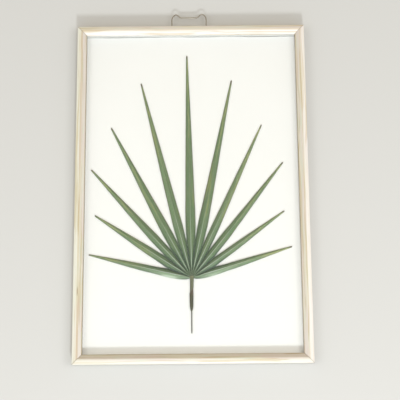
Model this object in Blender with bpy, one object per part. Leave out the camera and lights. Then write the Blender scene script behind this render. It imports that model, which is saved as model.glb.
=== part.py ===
"""A pressed fan-palm leaf in a shadow-box frame, lying on its back.

Metres, +Z up. The frame's front faces +Z and its top rail is towards +Y. The origin is
at the bottom centre of the whole part, the wire hanger included.
"""
import math

import bmesh
import bpy
from mathutils import Vector

MM = 0.001

# Frame: driving dimensions
FRAME_WIDTH = 420 * MM
FRAME_HEIGHT = 620 * MM
GAP = 0.3 * MM                 # clearance between pieces that touch

# Moulding, from its outer edge inwards
OUTER_FACET = 8.5 * MM         # outer edge to ridge
INNER_FACET = 8.8 * MM         # ridge to nib
OUTER_DROP = 2.0 * MM          # the outer edge lies this much below the ridge
INNER_DROP = 4.8 * MM          # the nib lies this much below the ridge
NIB_HEIGHT = 1.2 * MM          # small upright face at the sight edge
WALL = 10.0 * MM               # outer wall that the rabbet leaves
ARRIS = 0.5 * MM               # worn-off corner of the outer edge

# Layers in the rabbet, from the back
BACK_RECESS = 2.4 * MM
BOARD_THICK = 2.5 * MM
CARD_THICK = 1.4 * MM
SPACER_HIGH = 7.0 * MM
SPACER_WIDE = 6.6 * MM
GLASS_THICK = 2.0 * MM

BOARD_BASE = BACK_RECESS
CARD_BASE = BOARD_BASE + BOARD_THICK + GAP
CARD_TOP = CARD_BASE + CARD_THICK
SPACER_BASE = CARD_TOP + GAP
GLASS_BASE = SPACER_BASE + SPACER_HIGH + GAP
LIP_BASE = GLASS_BASE + GLASS_THICK + GAP
NIB_TOP = LIP_BASE + NIB_HEIGHT
RIDGE_TOP = NIB_TOP + INNER_DROP
EDGE_TOP = RIDGE_TOP - OUTER_DROP

# Wire hanger: places across the top rail and out from its outer face; the two legs run
# 10 mm into the wood
WIRE_RADIUS = 1.0 * MM
WIRE_Z = 9.0 * MM
WIRE_STEPS = 3                 # straight pieces between two points of the route
HANGER_X = -3.3 * MM
LEG_X = 32.1 * MM
HOLE_RADIUS = 1.3 * MM
HOLE_DEPTH = 12.0 * MM
HOLE_SIDES = 12
WIRE_ROUTE_MM = [
    (-32.1, -10), (-32.1, 0), (-32.1, 8), (-32.1, 15.9), (-30.9, 20.4), (-28.1, 24.2),
    (-24.7, 26.4), (-21.3, 25), (-17.6, 21.8), (-15, 20.4), (-11, 20.2), (0, 20.2),
    (11, 20.2), (15, 20.4), (18.5, 23), (21.5, 25.6), (24.8, 26.4), (28, 25),
    (30.9, 21.2), (32.1, 15.9), (32.1, 8), (32.1, 0), (32.1, -10),
]
WIRE_REACH = 26.4 * MM + WIRE_RADIUS

# The origin is at the middle of the frame and hanger together
CENTRE_Y = -WIRE_REACH / 2

# Steel tabs behind the backing board
TAB_WIDE = 12.0 * MM
TAB_LONG = 16.0 * MM
TAB_THICK = 0.6 * MM
TAB_IN_WOOD = 4.0 * MM

# Leaf: each segment's direction in degrees from +X, length, greatest width and sideways
# bow in millimetres, from the segment at the right round to the one at the left
LEAFLETS = [
    (16.7, 187, 15.8, -1.2),
    (35.4, 205, 15.8, -1.2),
    (51.4, 267, 16.6, -1.6),
    (65.2, 308, 15.4, -1.0),
    (78.3, 373, 17.8, -0.8),
    (90.9, 414, 18.2, 0.0),
    (104.2, 372, 17.4, 0.6),
    (117.8, 312, 18.6, 1.0),
    (132.5, 268, 17.6, 1.1),
    (146.9, 207, 18.2, 1.3),
    (167.1, 188, 16.3, 1.4),
]
HUB_X = -1.3 * MM
HUB_Y = CENTRE_Y - 158.7 * MM
LEAF_START = 4.0 * MM          # the segments begin this far from the hub
LEAF_THICK = 0.5 * MM
LEAF_SLOPE = math.tan(math.radians(19))    # the two halves of a segment slope like a roof
LEAF_LIFT_HUB = 2.0 * MM       # height of the segments' edges over the card
LEAF_LIFT_TIP = 0.8 * MM
WIDEST_AT = 0.25               # share of the length where the taper begins
TIP_SHARE = 0.14               # width left at the blunt tip
FREE_EDGE_RISE = 10.0 * MM     # how fast the two lowest edges reach full width
BOW_SHAPE = 6.75               # makes a bow greatest, and equal to its number, at a third
LEAF_STEPS = 12
LEAF_STEP_POWER = 1.5          # shorter steps near the hub

# Stalk: distances below the hub, widths and thicknesses
STALK_Z = CARD_TOP + 2.2 * MM
STALK_SIDES = 14
STALK_SLANT = 1.0              # the sheath's upper edge rises one to one to the right
STALK_CUT = 22.5 * MM
SHEATH_END = 59.8 * MM
STEM_END = 98.3 * MM
STEM_RADIUS = 0.9 * MM
STEM_STRAIGHT = 80.0 * MM      # from here the stem sinks to the card
STEM_TAPER = 0.8
PETIOLE_HEAD_MM = [
    (-3.4, 1.6, 0.8), (-2.6, 4.6, 1.6), (-1.2, 6.6, 2.4), (0.5, 7.1, 2.8),
    (2.5, 6.6, 3.2), (6.0, 6.0, 3.4), (12.0, 5.6, 3.4),
]
PETIOLE_END_MM = (5.6, 3.4)
SHEATH_TOP_MM = (6.2, 3.8)
SHEATH_MM = [(31.0, 6.2, 3.8), (46.0, 5.8, 3.6), (54.0, 4.6, 3.0)]
SHEATH_TIP_MM = (2.4, 2.0)


def clear_scene():
    for thing in list(bpy.data.objects):
        bpy.data.objects.remove(thing, do_unlink=True)


def material(name, colour, roughness, metallic=0.0, transmission=0.0):
    made = bpy.data.materials.new(name)
    made.use_nodes = True
    shader = made.node_tree.nodes["Principled BSDF"]
    shader.inputs["Base Color"].default_value = (*colour, 1.0)
    shader.inputs["Roughness"].default_value = roughness
    shader.inputs["Metallic"].default_value = metallic
    shader.inputs["Transmission Weight"].default_value = transmission
    return made


def mesh_object(name, build, finish):
    """Make one closed mesh object from the bmesh that build fills."""
    shape = bmesh.new()
    build(shape)
    bmesh.ops.recalc_face_normals(shape, faces=shape.faces)
    mesh = bpy.data.meshes.new(name)
    shape.to_mesh(mesh)
    shape.free()
    mesh.materials.append(finish)
    made = bpy.data.objects.new(name, mesh)
    bpy.context.scene.collection.objects.link(made)
    return made


def fill_box(shape, low, high):
    corners = [shape.verts.new((x, y, z)) for z in (low[2], high[2])
               for y in (low[1], high[1]) for x in (low[0], high[0])]
    for side in ((0, 1, 3, 2), (4, 5, 7, 6), (0, 1, 5, 4), (2, 3, 7, 6), (0, 2, 6, 4), (1, 3, 7, 5)):
        shape.faces.new([corners[i] for i in side])


def box_object(name, low, high, finish):
    return mesh_object(name, lambda shape: fill_box(shape, low, high), finish)


def loft(shape, rings):
    """Skin a list of equal rings of points and close both ends."""
    made = [[shape.verts.new(point) for point in ring] for ring in rings]
    count = len(made[0])
    for first, second in zip(made, made[1:]):
        for i in range(count):
            j = (i + 1) % count
            shape.faces.new((first[i], first[j], second[j], second[i]))
    shape.faces.new(made[0])
    shape.faces.new(made[-1])


def cut_away(target, cutters):
    """Subtract each cutter, which stays as a hidden guide."""
    for cutter in cutters:
        cutter.hide_render = True
        cutter.display_type = 'WIRE'
        cut = target.modifiers.new(cutter.name, 'BOOLEAN')
        cut.operation = 'DIFFERENCE'
        cut.solver = 'EXACT'
        cut.object = cutter


# ---------------------------------------------------------------- frame

def moulding_profile():
    """Cross-section as (distance inwards from the outer edge, height)."""
    sight = OUTER_FACET + INNER_FACET
    return [
        (0.0, 0.0),
        (0.0, EDGE_TOP - ARRIS),
        (ARRIS, EDGE_TOP + 0.2 * ARRIS),
        (OUTER_FACET - ARRIS, RIDGE_TOP - 0.2 * ARRIS),
        (OUTER_FACET + ARRIS, RIDGE_TOP - 0.6 * ARRIS),
        (sight, NIB_TOP),
        (sight, LIP_BASE),
        (WALL, LIP_BASE),
        (WALL, 0.0),
    ]


def rail(name, along, outwards, half_length, half_depth, finish):
    """One mitred rail. along and outwards are unit vectors in the frame's plane."""
    along = Vector(along)
    outwards = Vector(outwards)
    centre = Vector((0.0, CENTRE_Y, 0.0))

    def ring(side):
        points = []
        for inwards, height in moulding_profile():
            reach = half_length - inwards - GAP / 2
            place = centre + outwards * (half_depth - inwards) + along * (side * reach)
            points.append(place + Vector((0.0, 0.0, height)))
        return points

    return mesh_object(name, lambda shape: loft(shape, [ring(-1), ring(1)]), finish)


def tab_places():
    """Centre of each tab's outer end on the rabbet wall, with the way it points in."""
    half_w = FRAME_WIDTH / 2 - WALL
    half_h = FRAME_HEIGHT / 2 - WALL
    places = []
    for side in (-1, 1):
        for share in (-0.5, 0.5):
            places.append((Vector((share * half_w, CENTRE_Y + side * half_h, 0.0)), Vector((0, -side, 0))))
            places.append((Vector((side * half_w, CENTRE_Y + share * half_h, 0.0)), Vector((-side, 0, 0))))
    return places


def tab_box(place, inwards, grow):
    """Low and high corners of a tab, or of its slot when grow is more than nothing."""
    across = Vector((abs(inwards.y), abs(inwards.x), 0.0)) * (TAB_WIDE / 2 + grow)
    outer = place - inwards * (TAB_IN_WOOD + grow)
    inner = place + inwards * (TAB_LONG - TAB_IN_WOOD)
    top = BOARD_BASE - GAP
    corners = [outer - across, outer + across, inner - across, inner + across]
    low = (min(c.x for c in corners), min(c.y for c in corners), top - TAB_THICK - grow)
    high = (max(c.x for c in corners), max(c.y for c in corners), top + grow)
    return low, high


def make_frame(wood):
    half_w = FRAME_WIDTH / 2
    half_h = FRAME_HEIGHT / 2
    return {
        "top": rail("rail_top", (1, 0, 0), (0, 1, 0), half_w, half_h, wood),
        "bottom": rail("rail_bottom", (1, 0, 0), (0, -1, 0), half_w, half_h, wood),
        "left": rail("rail_left", (0, 1, 0), (-1, 0, 0), half_h, half_w, wood),
        "right": rail("rail_right", (0, 1, 0), (1, 0, 0), half_h, half_w, wood),
    }


def side_of(inwards):
    if abs(inwards.y) > 0.5:
        return "bottom" if inwards.y > 0 else "top"
    return "left" if inwards.x > 0 else "right"


def make_tabs(rails, steel):
    for number, (place, inwards) in enumerate(tab_places(), start=1):
        box_object(f"retainer_{number}", *tab_box(place, inwards, 0.0), steel)
        slot = box_object(f"slot_{number}", *tab_box(place, inwards, GAP), steel)
        cut_away(rails[side_of(inwards)], [slot])


def make_layers(white, paper, brown, glass):
    half_w = FRAME_WIDTH / 2 - WALL - GAP
    half_h = FRAME_HEIGHT / 2 - WALL - GAP

    def sheet(name, base, thick, finish):
        low = (-half_w, CENTRE_Y - half_h, base)
        high = (half_w, CENTRE_Y + half_h, base + thick)
        box_object(name, low, high, finish)

    sheet("backing_board", BOARD_BASE, BOARD_THICK, brown)
    sheet("mount_card", CARD_BASE, CARD_THICK, paper)
    sheet("glass_pane", GLASS_BASE, GLASS_THICK, glass)
    base = SPACER_BASE
    top = SPACER_BASE + SPACER_HIGH
    for side, word in ((-1, "bottom"), (1, "top")):
        outer = CENTRE_Y + side * half_h
        inner = CENTRE_Y + side * (half_h - SPACER_WIDE)
        low = (-half_w, min(outer, inner), base)
        high = (half_w, max(outer, inner), top)
        box_object(f"spacer_{word}", low, high, white)
    reach = half_h - SPACER_WIDE - GAP
    for side, word in ((-1, "left"), (1, "right")):
        outer = side * half_w
        inner = side * (half_w - SPACER_WIDE)
        low = (min(outer, inner), CENTRE_Y - reach, base)
        high = (max(outer, inner), CENTRE_Y + reach, top)
        box_object(f"spacer_{word}", low, high, white)


# ---------------------------------------------------------------- hanger

def smooth_route(points, steps):
    """Catmull-Rom curve through the points, steps pieces between each two."""
    out = []
    for i in range(len(points) - 1):
        before = points[max(i - 1, 0)]
        start = points[i]
        end = points[i + 1]
        after = points[min(i + 2, len(points) - 1)]
        for step in range(steps):
            t = step / steps
            blend = (2 * start + (end - before) * t
                     + (2 * before - 5 * start + 4 * end - after) * t ** 2
                     + (3 * start - before - 3 * end + after) * t ** 3) * 0.5
            out.append(blend)
    out.append(points[-1])
    return out


def make_hanger(rail_top, steel):
    face_y = CENTRE_Y + FRAME_HEIGHT / 2
    route = [Vector((HANGER_X + x * MM, face_y + y * MM, WIRE_Z)) for x, y in WIRE_ROUTE_MM]
    points = smooth_route(route, WIRE_STEPS)
    curve = bpy.data.curves.new("hanger_wire", 'CURVE')
    curve.dimensions = '3D'
    curve.bevel_depth = WIRE_RADIUS
    curve.bevel_resolution = 2
    curve.use_fill_caps = True
    spline = curve.splines.new('POLY')
    spline.points.add(len(points) - 1)
    for spot, place in zip(spline.points, points):
        spot.co = (*place, 1.0)
    curve.materials.append(steel)
    wire = bpy.data.objects.new("hanger_wire", curve)
    bpy.context.scene.collection.objects.link(wire)

    holes = []
    for side, word in ((-1, "left"), (1, "right")):
        def drill(shape, x=HANGER_X + side * LEG_X):
            rings = []
            for y in (face_y - HOLE_DEPTH, face_y + HOLE_RADIUS):
                turns = [2 * math.pi * i / HOLE_SIDES for i in range(HOLE_SIDES)]
                rings.append([(x + HOLE_RADIUS * math.cos(a), y, WIRE_Z + HOLE_RADIUS * math.sin(a))
                              for a in turns])
            loft(shape, rings)
        holes.append(mesh_object(f"hole_{word}", drill, steel))
    cut_away(rail_top, holes)


# ---------------------------------------------------------------- leaf

def leaflet_direction(index, distance):
    """Direction of a segment's rib, in radians, at a distance from the hub."""
    angle, length, _, bow = LEAFLETS[index]
    share = distance / (length * MM)
    sideways = bow * MM * BOW_SHAPE * share * (1 - share) ** 2
    return math.radians(angle) + sideways / distance


def leaflet_width(index, distance):
    _, length, width, _ = LEAFLETS[index]
    share = distance / (length * MM)
    along = max(0.0, (share - WIDEST_AT) / (1 - WIDEST_AT))
    return width * MM * (1 - (1 - TIP_SHARE) * along ** 1.1)


def half_width(index, distance, side):
    """Half of a segment's width on one side (-1 clockwise, 1 anticlockwise)."""
    half = leaflet_width(index, distance) / 2
    other = index + side
    if not 0 <= other < len(LEAFLETS):
        return half * (1 - math.exp(-distance / FREE_EDGE_RISE))
    if distance >= LEAFLETS[other][1] * MM:
        return half
    apart = abs(leaflet_direction(other, distance) - leaflet_direction(index, distance))
    return min(half, distance * apart / 2 - GAP / 2)


def leaflet_ring(index, distance):
    """Six corners of a segment's roof-shaped section at one distance."""
    length = LEAFLETS[index][1] * MM
    share = distance / length
    base = CARD_TOP + GAP + LEAF_LIFT_HUB + (LEAF_LIFT_TIP - LEAF_LIFT_HUB) * share
    rib = leaflet_direction(index, distance)
    right = half_width(index, distance, -1)
    left = half_width(index, distance, 1)
    rise = min(left, right) * LEAF_SLOPE
    turns = [(rib - right / distance, base), (rib, base + rise), (rib + left / distance, base)]

    def place(turn, height):
        x = HUB_X + distance * math.cos(turn)
        y = HUB_Y + distance * math.sin(turn)
        return (x, y, height)

    upper = [place(turn, height) for turn, height in turns]
    lower = [place(turn, height - LEAF_THICK) for turn, height in reversed(turns)]
    return upper + lower


def make_leaflets(green):
    count = len(LEAFLETS)
    for index in range(count):
        length = LEAFLETS[index][1] * MM
        span = length - LEAF_START
        shares = [(i / LEAF_STEPS) ** LEAF_STEP_POWER for i in range(LEAF_STEPS + 1)]
        rings = [leaflet_ring(index, LEAF_START + span * share) for share in shares]
        number = count - index
        mesh_object(f"leaflet_{number:02d}", lambda shape: loft(shape, rings), green)


def stalk_ring(below, width, thick, slant=0.0, height=STALK_Z):
    """An oval section across the stalk, tipped so that its right side is higher up."""
    points = []
    for i in range(STALK_SIDES):
        turn = 2 * math.pi * i / STALK_SIDES
        x = width / 2 * math.cos(turn)
        points.append((HUB_X + x, HUB_Y - below + slant * x, height + thick / 2 * math.sin(turn)))
    return points


def stalk_rings(table_mm):
    return [stalk_ring(below * MM, wide * MM, thick * MM) for below, wide, thick in table_mm]


def slanting_ring(below, size_mm):
    wide, thick = size_mm
    return stalk_ring(below, wide * MM, thick * MM, STALK_SLANT)


def make_stalk(olive, brown, dry):
    neck = stalk_rings(PETIOLE_HEAD_MM) + [slanting_ring(STALK_CUT - GAP, PETIOLE_END_MM)]
    mesh_object("petiole", lambda shape: loft(shape, neck), olive)

    tip_wide, tip_thick = SHEATH_TIP_MM
    sleeve = [slanting_ring(STALK_CUT + GAP, SHEATH_TOP_MM)] + stalk_rings(SHEATH_MM)
    sleeve.append(stalk_ring(SHEATH_END, tip_wide * MM, tip_thick * MM))
    mesh_object("sheath", lambda shape: loft(shape, sleeve), brown)

    across = 2 * STEM_RADIUS
    thin = STEM_TAPER * across
    on_card = CARD_TOP + GAP + STEM_RADIUS
    stem = [
        stalk_ring(SHEATH_END + GAP, across, across),
        stalk_ring(STEM_STRAIGHT, across, across),
        stalk_ring(STEM_END, thin, thin, height=on_card),
    ]
    mesh_object("stem_end", lambda shape: loft(shape, stem), dry)


def main():
    clear_scene()
    wood = material("pale_wood", (0.80, 0.70, 0.54), 0.60)
    white = material("white_fillet", (0.85, 0.85, 0.82), 0.70)
    paper = material("white_card", (0.90, 0.90, 0.87), 0.80)
    brown_board = material("backing_board", (0.35, 0.24, 0.15), 0.85)
    glass = material("clear_glass", (1.0, 1.0, 1.0), 0.02, transmission=1.0)
    steel = material("wire_steel", (0.62, 0.59, 0.53), 0.35, metallic=1.0)
    green = material("leaf_green", (0.20, 0.32, 0.15), 0.55)
    olive = material("leaf_stalk", (0.22, 0.24, 0.12), 0.60)
    brown = material("fibrous_sheath", (0.16, 0.11, 0.06), 0.80)
    dry = material("dry_stem", (0.17, 0.16, 0.09), 0.75)

    rails = make_frame(wood)
    make_tabs(rails, steel)
    make_layers(white, paper, brown_board, glass)
    make_hanger(rails["top"], steel)
    make_leaflets(green)
    make_stalk(olive, brown, dry)


main()
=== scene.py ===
import math

import bmesh
import bpy
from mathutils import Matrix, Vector, noise


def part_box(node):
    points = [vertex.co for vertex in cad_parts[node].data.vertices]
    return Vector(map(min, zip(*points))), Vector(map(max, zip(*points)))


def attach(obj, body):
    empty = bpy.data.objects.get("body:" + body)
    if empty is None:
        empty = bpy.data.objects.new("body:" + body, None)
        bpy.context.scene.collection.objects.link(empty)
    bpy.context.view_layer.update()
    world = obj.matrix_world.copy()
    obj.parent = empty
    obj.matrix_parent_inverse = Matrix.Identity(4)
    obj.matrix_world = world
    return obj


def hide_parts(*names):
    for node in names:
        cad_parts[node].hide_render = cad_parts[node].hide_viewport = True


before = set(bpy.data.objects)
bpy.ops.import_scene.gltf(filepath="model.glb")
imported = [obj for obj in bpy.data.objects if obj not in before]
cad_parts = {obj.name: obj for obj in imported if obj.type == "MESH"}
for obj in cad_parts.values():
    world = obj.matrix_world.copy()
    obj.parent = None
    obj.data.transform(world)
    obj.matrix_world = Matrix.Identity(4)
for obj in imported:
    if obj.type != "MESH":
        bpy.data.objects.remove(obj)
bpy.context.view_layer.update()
MM = 0.001

# %% [markdown]
# ## Places
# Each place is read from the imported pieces, so that nothing has to be fitted later. The
# four rails give the outline, the card gives the height that the leaf lies on, and the
# petiole's upper end gives the point where all leaf segments meet.
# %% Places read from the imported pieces
low_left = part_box("rail_left")[0]
top_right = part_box("rail_right")[1]
FRAME_WIDE = round(top_right.x - low_left.x, 5)
FRAME_TALL = round(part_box("rail_top")[1].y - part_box("rail_bottom")[0].y, 5)
CENTRE_Y = (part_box("rail_top")[1].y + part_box("rail_bottom")[0].y) / 2
CARD_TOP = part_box("mount_card")[1].z
RIDGE_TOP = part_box("rail_top")[1].z
WALL_INSIDE = FRAME_WIDE / 2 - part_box("mount_card")[1].x
GAP = 0.3 * MM
print("frame", FRAME_WIDE, FRAME_TALL, "centre y", CENTRE_Y, "card top", CARD_TOP)

# %% [markdown]
# ## Tools for materials
# A material is a net of nodes. Small helpers keep the nets readable: they add a node and
# fill or wire its sockets, do sums, mix two colours, ramp a value from 0 to 1, build and
# place a shared group, and start a material with its constant values.
# %% Helpers for nodes
def add(tree, kind, inputs=None, **settings):
    """Add a shader node; an input may be a value or another node's socket."""
    made = tree.nodes.new("ShaderNode" + kind)
    for name, value in settings.items():
        setattr(made, name, value)
    for name, value in (inputs or {}).items():
        if isinstance(value, bpy.types.NodeSocket):
            tree.links.new(value, made.inputs[name])
        else:
            made.inputs[name].default_value = value
    return made


def maths(tree, what, first, second=0.0, clamp=False):
    return add(tree, "Math", {0: first, 1: second}, operation=what, use_clamp=clamp).outputs[0]


def colour_mix(tree, share, first, second, way='MIX'):
    made = add(tree, "Mix", {0: share}, data_type='RGBA', blend_type=way)
    for socket, value in ((made.inputs[6], first), (made.inputs[7], second)):
        if isinstance(value, bpy.types.NodeSocket):
            tree.links.new(value, socket)
        else:
            socket.default_value = (*value, 1)
    return made.outputs[2]


def step_up(tree, value, start, end):
    """0 below start, 1 above end, smooth between. start may be the larger one."""
    made = add(tree, "MapRange", {"Value": value, "From Min": start, "From Max": end},
               interpolation_type='SMOOTHSTEP')
    return made.outputs[0]


def new_group(name, inputs, outputs):
    """A shader node group with named sockets. inputs maps a name to (type, value)."""
    group = bpy.data.node_groups.new(name, 'ShaderNodeTree')
    for socket, (kind, value) in inputs.items():
        made = group.interface.new_socket(socket, in_out='INPUT', socket_type='NodeSocket' + kind)
        if value is not None:
            made.default_value = value
    for socket, kind in outputs.items():
        group.interface.new_socket(socket, in_out='OUTPUT', socket_type='NodeSocket' + kind)
    given = group.nodes.new("NodeGroupInput").outputs
    return group, given, group.nodes.new("NodeGroupOutput").inputs


def use_group(tree, group, inputs):
    made = tree.nodes.new("ShaderNodeGroup")
    made.node_tree = group
    for name, value in inputs.items():
        if isinstance(value, bpy.types.NodeSocket):
            tree.links.new(value, made.inputs[name])
        else:
            made.inputs[name].default_value = value
    return made.outputs


def new_material(name, **values):
    """A material with one Principled shader, whose constant sockets are set by name."""
    made = bpy.data.materials.new(name)
    made.use_nodes = True
    shader = made.node_tree.nodes["Principled BSDF"]
    for socket, value in values.items():
        shader.inputs[socket.replace("_", " ")].default_value = value
    return made, made.node_tree, shader


# %% [markdown]
# ## Camera
# A camera is placed first, so that every later piece can be judged from the view that
# matters. It stands at a person's height over the lower half of the frame and looks down
# at a slant of twelve degrees, through a long lens.
# %% Camera
bpy.ops.object.select_all(action='DESELECT')
bpy.ops.object.camera_add(
    location=(0.0193, -0.3954, 1.7189),
    rotation=(math.radians(11.981), math.radians(0.264), math.radians(-0.478)))
camera = bpy.context.object
camera.name = "camera"
camera.data.lens = 87.44
camera.data.sensor_width = 36
bpy.context.scene.camera = camera

# %% [markdown]
# ## Light and floor
# Plain studio light. A round soft box beyond the frame's lower edge gives the moulding its
# bright and dim sides, and two broad, weak discs soften the shadows at the left and right.
# The surround is cool on the window side and warm on the wall side, which tints the facets
# that face each way, while the camera itself sees a plain pale backdrop behind the floor.
# The plain transform shows whites as white. The floor belongs to the stage, not to the
# object.
# %% Light and floor
KEY_DISTANCE = 3.0
KEY_HEIGHT = math.radians(36)
KEY_TURN = math.radians(6)
WALL_GLOW = (0.84, 0.67, 0.42)
WINDOW_GLOW = (1.10, 1.20, 1.30)
BACKDROP = (1.0, 1.0, 0.98)
SKY_STRENGTH = 0.78
key_way = Vector((math.sin(KEY_TURN) * math.cos(KEY_HEIGHT),
                  -math.cos(KEY_TURN) * math.cos(KEY_HEIGHT), math.sin(KEY_HEIGHT)))
bpy.ops.object.light_add(type='AREA', location=key_way * KEY_DISTANCE)
key = bpy.context.object
key.name = "soft_box"
key.rotation_euler = (-key_way).to_track_quat('-Z', 'Y').to_euler()
key.data.shape = 'DISK'
key.data.size = 0.45
key.data.energy = 50
key.data.color = (0.94, 0.98, 1.0)

SIDE_POWER = {-1: 12, 1: 16}
for side, power in SIDE_POWER.items():
    bpy.ops.object.light_add(type='AREA', location=(side * 1.7, -0.3, 2.4))
    fill = bpy.context.object
    fill.name = "side_fill"
    fill.rotation_euler = (-fill.location).to_track_quat('-Z', 'Y').to_euler()
    fill.data.shape = 'DISK'
    fill.data.size = 1.4
    fill.data.energy = power
    fill.data.color = (1.0, 0.98, 0.95)

surround = bpy.data.worlds.new("pale_surround")
surround.use_nodes = True
sky = surround.node_tree
sky_way = add(sky, "SeparateXYZ", {0: add(sky, "TexCoord").outputs["Generated"]})
window_side = maths(sky, 'MULTIPLY_ADD', sky_way.outputs["Y"], -0.5)
window_side.node.inputs[2].default_value = 0.5
sky_colour = colour_mix(sky, window_side, WALL_GLOW, WINDOW_GLOW)
seen = add(sky, "LightPath").outputs["Is Camera Ray"]
sky.links.new(colour_mix(sky, seen, sky_colour, BACKDROP), sky.nodes["Background"].inputs["Color"])
sky.nodes["Background"].inputs["Strength"].default_value = SKY_STRENGTH
bpy.context.scene.world = surround
bpy.context.scene.view_settings.view_transform = 'Standard'

bpy.ops.mesh.primitive_plane_add(size=8, location=(0, 0, -0.4 * MM))
floor = bpy.context.object
floor.name = "floor"
floor_paint, _, _ = new_material("floor_paint", Base_Color=(0.58, 0.58, 0.57, 1), Roughness=0.9,
                                 Specular_IOR_Level=0.0)
floor.data.materials.append(floor_paint)

# %% [markdown]
# ## Effects that several finishes share
# Wood, leaf, stalk and drawn wire all show streaks that run one way. One node group
# makes them from noise that is pulled out along the piece: X of its vector runs along the
# streaks. A second group makes soft patches, and a third small dark flecks.
# %% Shared groups: streaks, patches, flecks
def make_streaks():
    group, given, out = new_group(
        "streaks",
        {"Vector": ('Vector', None), "Along": ('Float', 6.0), "Across": ('Float', 200.0),
         "Wander": ('Float', 0.002)},
        {"Broad": 'Float', "Fine": 'Float'})
    bend = add(group, "TexNoise", {"Vector": given["Vector"], "Scale": 9.0, "Detail": 1.0})
    off = add(group, "VectorMath", {0: bend.outputs["Color"], 1: (0.5, 0.5, 0.5)},
              operation='SUBTRACT')
    off = add(group, "VectorMath", {0: off.outputs[0], "Scale": given["Wander"]}, operation='SCALE')
    spot = add(group, "VectorMath", {0: given["Vector"], 1: off.outputs[0]})
    for name, times in (("Broad", 1.0), ("Fine", 4.3)):
        pull = add(group, "CombineXYZ", {
            0: maths(group, 'MULTIPLY', given["Along"], times),
            1: maths(group, 'MULTIPLY', given["Across"], times),
            2: maths(group, 'MULTIPLY', given["Across"], times)})
        place = add(group, "VectorMath", {0: spot.outputs[0], 1: pull.outputs[0]},
                    operation='MULTIPLY')
        streak = add(group, "TexNoise", {"Vector": place.outputs[0], "Scale": 1.0, "Detail": 2.0,
                                         "Roughness": 0.6})
        group.links.new(streak.outputs["Fac"], out[name])
    return group


def make_patches():
    group, given, out = new_group(
        "patches", {"Vector": ('Vector', None), "Scale": ('Float', 12.0), "Edge": ('Float', 0.12)},
        {"Mask": 'Float'})
    cloud = add(group, "TexNoise", {"Vector": given["Vector"], "Scale": given["Scale"],
                                    "Detail": 2.0})
    low = maths(group, 'SUBTRACT', 0.5, given["Edge"])
    high = maths(group, 'ADD', 0.5, given["Edge"])
    mask = step_up(group, cloud.outputs["Fac"], low, high)
    group.links.new(mask, out["Mask"])
    return group


def make_flecks():
    group, given, out = new_group(
        "flecks", {"Vector": ('Vector', None), "Scale": ('Float', 300.0), "Share": ('Float', 0.3),
                   "Size": ('Float', 0.25)},
        {"Mask": 'Float'})
    cells = add(group, "TexVoronoi", {"Vector": given["Vector"], "Scale": given["Scale"]})
    dot = step_up(group, cells.outputs["Distance"], given["Size"], 0.0)
    pick = add(group, "SeparateColor", {0: cells.outputs["Color"]})
    chosen = maths(group, 'LESS_THAN', pick.outputs[0], given["Share"])
    group.links.new(maths(group, 'MULTIPLY', dot, chosen), out["Mask"])
    return group


STREAKS = make_streaks()
PATCHES = make_patches()
FLECKS = make_flecks()

# %% [markdown]
# ## Lime-washed pine
# The rails are planed pine, rubbed with white wash. The wash leaves the wood cream, with
# long faint growth lines and stripes that drift to pink, tan and green, and it is worn along
# the ridge. Light and shade are also painted in: a paler painted light on the facets that
# catch the light, and a darker painted shade on the inner facets, the lip and the foot.
# Noise can't know those places, so the rails' meshes mark them. The left rail has
# one knot, and a thin dark line lies in each mitre. The grain follows each rail, so one
# function builds the net three times, and turns it a quarter for the upright rails.
# %% Wood for the rails
CREAM_WOOD = (0.650, 0.618, 0.515)
PINK_WOOD = (0.650, 0.585, 0.545)
GREEN_WOOD = (0.600, 0.618, 0.525)
LIMED_WOOD = (0.66, 0.65, 0.60)
LINE_SHADE = (0.84, 0.77, 0.63)
FIBRE_SHADE = (0.88, 0.84, 0.76)
WORN_SHADE = (0.86, 0.80, 0.66)
PAINTED_SHADE_TINT = (0.55, 0.47, 0.34)
JOINT_DIRT = (0.42, 0.38, 0.32)
KNOT_BROWN = (0.33, 0.25, 0.17)
KNOT = (-FRAME_WIDE / 2 + 8.1 * MM, CENTRE_Y - 183 * MM)
KNOT_WIDE = 1.2 * MM
KNOT_LONG = 11.0 * MM


def joint_line(tree, place):
    """1 along the mitre where two rails meet, 0 elsewhere."""
    apart = add(tree, "SeparateXYZ", {0: place}).outputs
    sideways = maths(tree, 'ABSOLUTE', apart["X"])
    upwards = maths(tree, 'ABSOLUTE', maths(tree, 'SUBTRACT', apart["Y"], CENTRE_Y))
    off_square = maths(tree, 'SUBTRACT', sideways, upwards)
    from_joint = maths(tree, 'SUBTRACT', off_square, (FRAME_WIDE - FRAME_TALL) / 2)
    return step_up(tree, maths(tree, 'ABSOLUTE', from_joint), 1.1 * MM, 0.3 * MM)


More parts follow.
